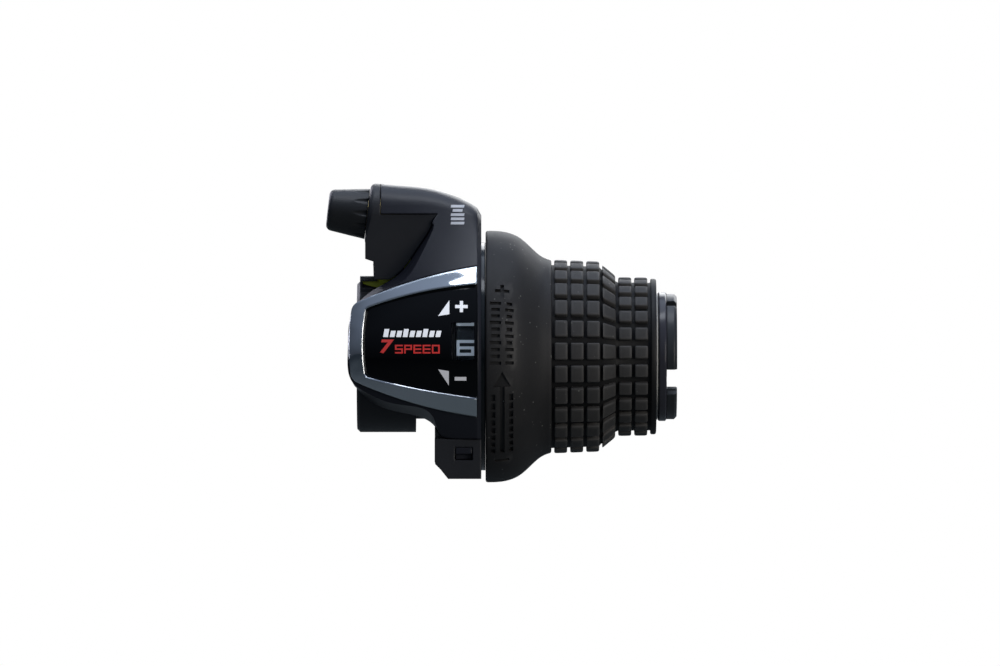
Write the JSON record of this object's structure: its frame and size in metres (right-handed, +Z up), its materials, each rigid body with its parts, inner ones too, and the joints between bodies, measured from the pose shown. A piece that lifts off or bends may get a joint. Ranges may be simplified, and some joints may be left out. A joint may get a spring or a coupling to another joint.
{
  "type": "twist grip shifter",
  "caption": "Right-hand twist-grip gear shifter: handlebar clamp, housing with a chrome-framed gear window, cable adjuster, and a ribbed rubber grip that turns on the bar.",
  "frame": {"origin": "on the handlebar's axis, in the middle of the clamp's width", "axes": "+X along the handlebar towards the outboard (grip) end, +Z up, the gear display faces -Y"},
  "size_m": [0.0787, 0.0594, 0.0671],
  "materials": {
    "housing_plastic": "moulded, fine matte texture",
    "cover_plastic": "moulded, satin",
    "bezel_chrome": "plated plastic",
    "lens": "clear plastic, back-printed black, with a clear window",
    "sleeve_plastic": "moulded",
    "steel": "plain",
    "bolt_steel": "black oxide",
    "zinc_steel": "yellow zinc plating",
    "brass": "turned",
    "washer_plastic": "natural acetal",
    "clip_plastic": "moulded",
    "knob_plastic": "moulded",
    "grip_rubber": "moulded, dull",
    "dial_plastic": "moulded, printed numerals",
    "plug_plastic": "moulded"
  },
  "bodies": {
    "bracket": {"base_housing": "housing_plastic", "top_cover": "cover_plastic", "chrome_bezel": "bezel_chrome", "display_lens": "lens", "bar_sleeve": "sleeve_plastic", "sleeve_screws": "steel", "cover_screw": "steel", "clamp_bolt": "bolt_steel", "clamp_nut": "zinc_steel", "nut_plate": "zinc_steel", "cable_guide": "steel", "adjuster_insert": "brass", "detent_spring": "steel", "detent_spring_screw": "steel", "detent_roller": "steel", "thrust_washer": "washer_plastic", "retaining_clip": "clip_plastic"},
    "adjuster_collar": {"adjuster_detent_ring": "washer_plastic"},
    "adjuster": {"adjuster_knob": "knob_plastic", "adjuster_screw": "brass"},
    "grip": {"grip_pipe": "sleeve_plastic", "rubber_grip": "grip_rubber", "gear_dial": "dial_plastic", "cable_spool": "washer_plastic", "index_ring": "washer_plastic"},
    "cable_plug": {"cable_port_plug": "plug_plastic"}
  },
  "joints": [
    {"name": "grip_twist", "type": "hinge", "parent": "bracket", "child": "grip", "pos_m": [0.04, 0, 0], "axis": [-1, 0, 0], "range_deg": [-75, 15]},
    {"name": "adjuster_travel", "type": "slide", "parent": "bracket", "child": "adjuster_collar", "axis": [-0.9936, 0, 0.1132], "range_m": [0, 0.004]},
    {"name": "adjuster_turn", "type": "hinge", "parent": "adjuster_collar", "child": "adjuster", "pos_m": [-0.0042, -0.0075, 0.032], "axis": [-0.9936, 0, 0.1132], "range_deg": [0, 1440]},
    {"name": "plug_pull", "type": "slide", "parent": "bracket", "child": "cable_plug", "axis": [0, 1, 0], "range_m": [0, 0.008]}
  ],
  "couplings": [
    {"joint": "adjuster_turn", "follows": "adjuster_travel", "rad_per_m": 6283.2}
  ]
}
